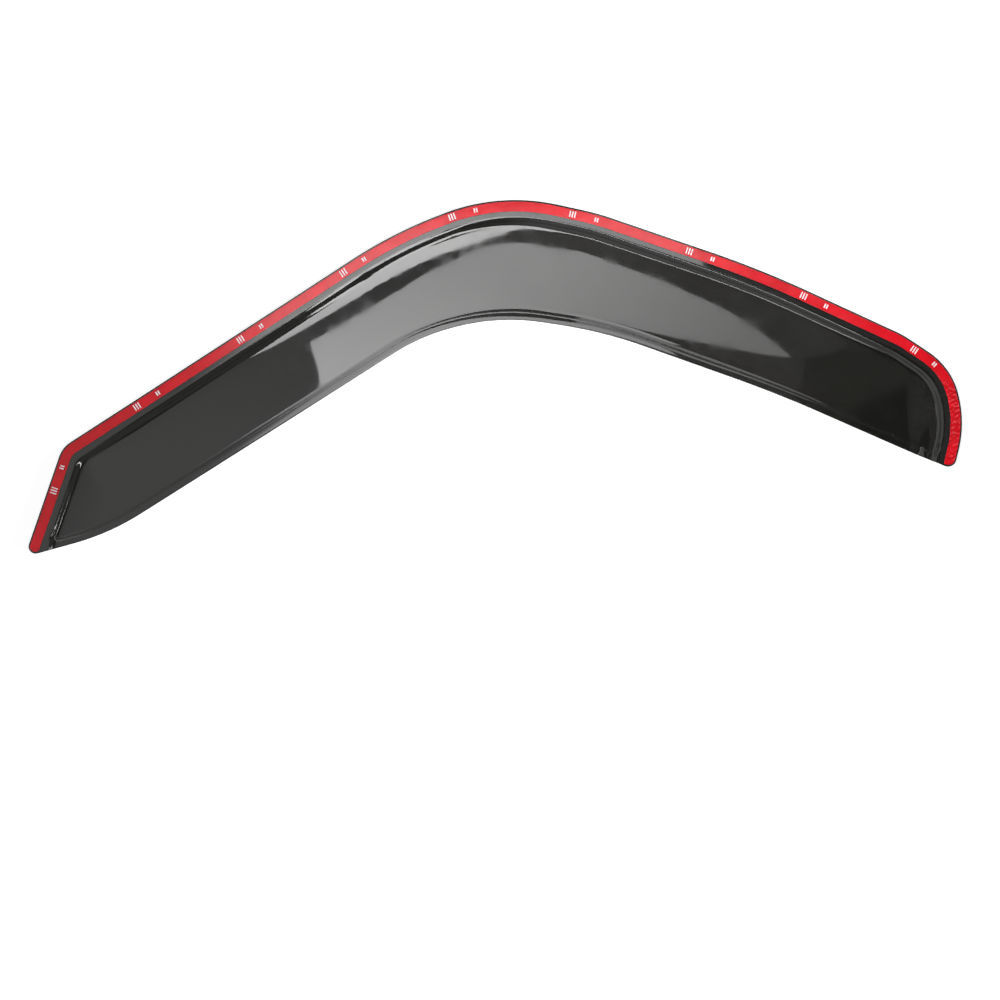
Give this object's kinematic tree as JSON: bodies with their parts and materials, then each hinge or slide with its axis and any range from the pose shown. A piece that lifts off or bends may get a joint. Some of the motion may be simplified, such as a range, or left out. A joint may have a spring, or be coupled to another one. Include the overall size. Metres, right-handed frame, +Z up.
{
  "type": "window rain deflector",
  "caption": "Smoked acrylic window visor with a taped flange, a step and a dished panel that keeps rain off an open side window.",
  "frame": {"origin": "on the tape's bonding face, on the tape's centre line, at the crown of the bend between pillar and roof", "axes": "as fitted to the right-hand front door: +X to the rear of the vehicle, +Y outboard, +Z up; the tape faces inboard"},
  "size_m": [0.8201, 0.0398, 0.4782],
  "materials": {
    "smoked_acrylic": "polished smoked acrylic sheet, dark and slightly see-through",
    "tape_foam": "closed-cell foam tape, dull dark grey",
    "liner_film": "glossy red release film"
  },
  "bodies": {
    "root": {"visor_shell": "smoked_acrylic", "foam_tape": "tape_foam", "release_liner": "liner_film"}
  },
  "joints": []
}
